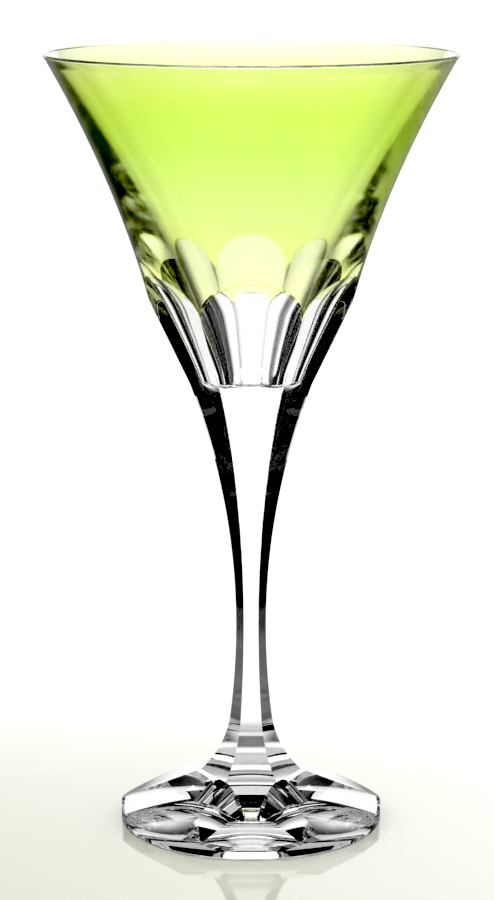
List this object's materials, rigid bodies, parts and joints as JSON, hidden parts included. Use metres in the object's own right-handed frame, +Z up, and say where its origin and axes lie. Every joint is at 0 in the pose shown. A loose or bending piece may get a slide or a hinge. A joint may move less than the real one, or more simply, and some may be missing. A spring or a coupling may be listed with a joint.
{
  "type": "water goblet",
  "caption": "Stemmed crystal drinking glass with a flared bowl cased in green glass, cut flat panels at its base, a long faceted stem and a facet-cut round foot.",
  "frame": {"origin": "centre of the ring that the foot stands on", "axes": "+Z up along the goblet's axis, one cut panel faces -Y"},
  "size_m": [0.1098, 0.1098, 0.21],
  "materials": {
    "clear_crystal": "polished clear crystal",
    "green_casing": "polished transparent yellow-green glass"
  },
  "bodies": {
    "root": {"foot": "clear_crystal", "stem": "clear_crystal", "bowl": "clear_crystal", "colour_casing": "green_casing"}
  },
  "joints": []
}
